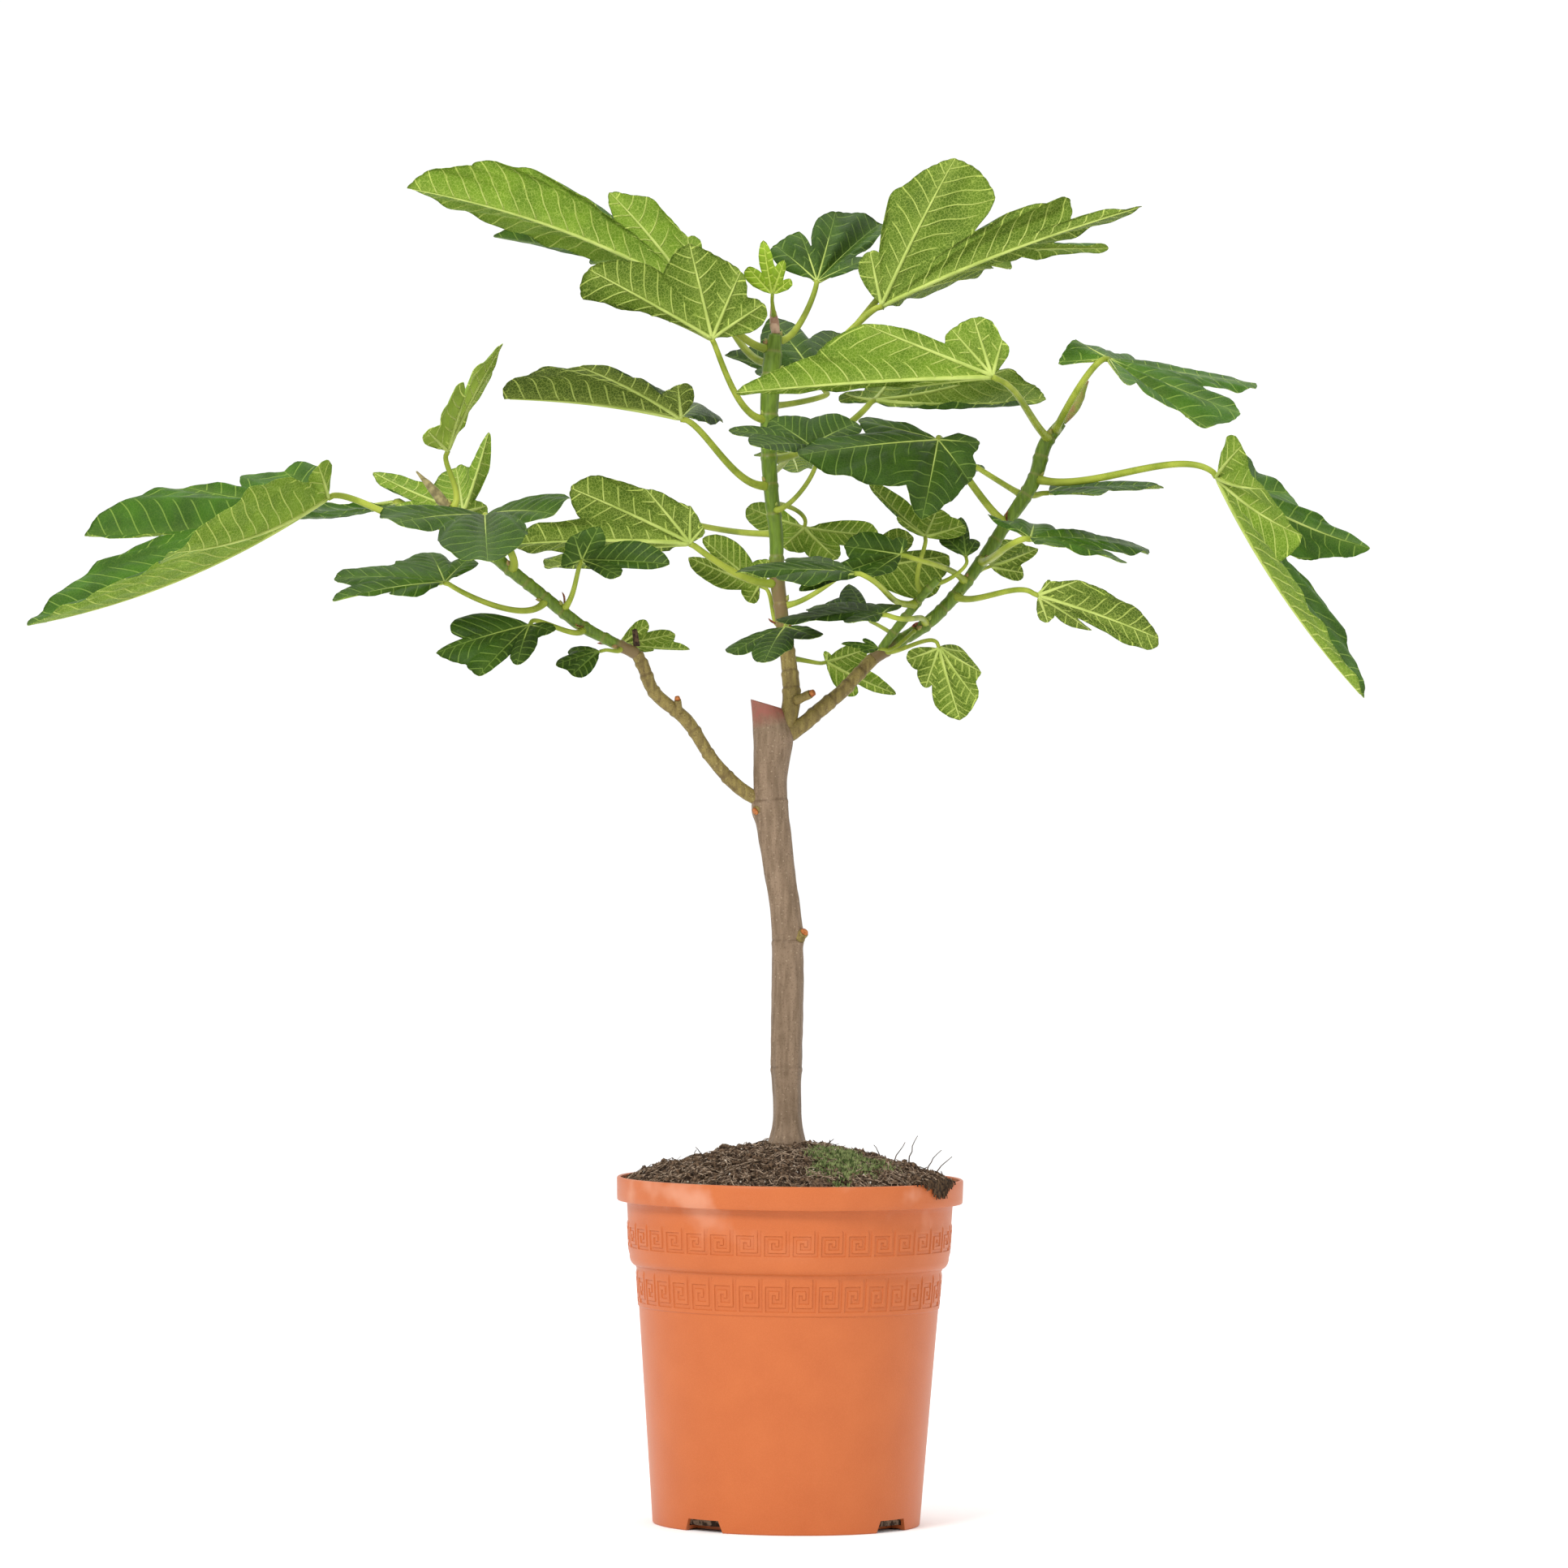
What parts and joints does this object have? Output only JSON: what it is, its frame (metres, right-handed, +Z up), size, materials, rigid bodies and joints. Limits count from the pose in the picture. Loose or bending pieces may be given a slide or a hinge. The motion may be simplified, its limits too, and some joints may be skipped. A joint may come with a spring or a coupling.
{
  "type": "potted fig tree",
  "caption": "Young fig tree with lobed leaves on long stalks, three boughs from a cut-back trunk, in a round plastic nursery pot of soil that stands on its flat underside",
  "frame": {"origin": "centre of the pot's flat underside", "axes": "+Z up, -Y towards the viewer of the pictured side, +X to that viewer's right"},
  "size_m": [0.8077, 0.3304, 0.8293],
  "materials": {
    "terracotta_plastic": "matte",
    "potting_soil": "matte",
    "fig_bark": "matte",
    "green_shoot": "satin",
    "bud_scale": "satin",
    "fig_leaf": "satin"
  },
  "bodies": {
    "root": {"pot": "terracotta_plastic", "soil": "potting_soil", "trunk": "fig_bark", "leader_bough": "fig_bark", "leader_shoot": "green_shoot", "left_bough": "fig_bark", "left_shoot": "green_shoot", "dead_stub": "fig_bark", "right_bough": "fig_bark", "right_shoot": "green_shoot", "inner_shoot": "green_shoot", "leader_bud": "bud_scale", "left_bud": "bud_scale", "right_bud": "bud_scale", "back_leaf_1": "fig_leaf", "back_leaf_2": "fig_leaf", "back_leaf_3": "fig_leaf", "back_leaf_4": "fig_leaf", "back_leaf_5": "fig_leaf", "back_leaf_6": "fig_leaf", "inner_leaf_1": "fig_leaf", "inner_leaf_2": "fig_leaf", "inner_leaf_3": "fig_leaf", "leader_leaf_1": "fig_leaf", "leader_leaf_2": "fig_leaf", "leader_leaf_3": "fig_leaf", "leader_leaf_4": "fig_leaf", "leader_leaf_5": "fig_leaf", "leader_leaf_6": "fig_leaf", "leader_leaf_7": "fig_leaf", "leader_leaf_8": "fig_leaf", "leader_leaf_9": "fig_leaf", "leader_leaf_10": "fig_leaf", "leader_leaf_11": "fig_leaf", "leader_leaf_12": "fig_leaf", "leader_leaf_13": "fig_leaf", "leader_leaf_14": "fig_leaf", "leader_top_leaf": "fig_leaf", "left_leaf_1": "fig_leaf", "left_leaf_2": "fig_leaf", "left_leaf_3": "fig_leaf", "left_leaf_4": "fig_leaf", "left_leaf_5": "fig_leaf", "left_leaf_6": "fig_leaf", "left_leaf_7": "fig_leaf", "left_leaf_8": "fig_leaf", "left_leaf_9": "fig_leaf", "right_leaf_1": "fig_leaf", "right_leaf_2": "fig_leaf", "right_leaf_3": "fig_leaf", "right_leaf_4": "fig_leaf", "right_leaf_5": "fig_leaf", "right_leaf_6": "fig_leaf", "right_leaf_7": "fig_leaf", "right_leaf_8": "fig_leaf", "right_leaf_9": "fig_leaf", "right_leaf_10": "fig_leaf", "right_leaf_11": "fig_leaf", "right_leaf_12": "fig_leaf", "right_leaf_13": "fig_leaf"}
  },
  "joints": []
}
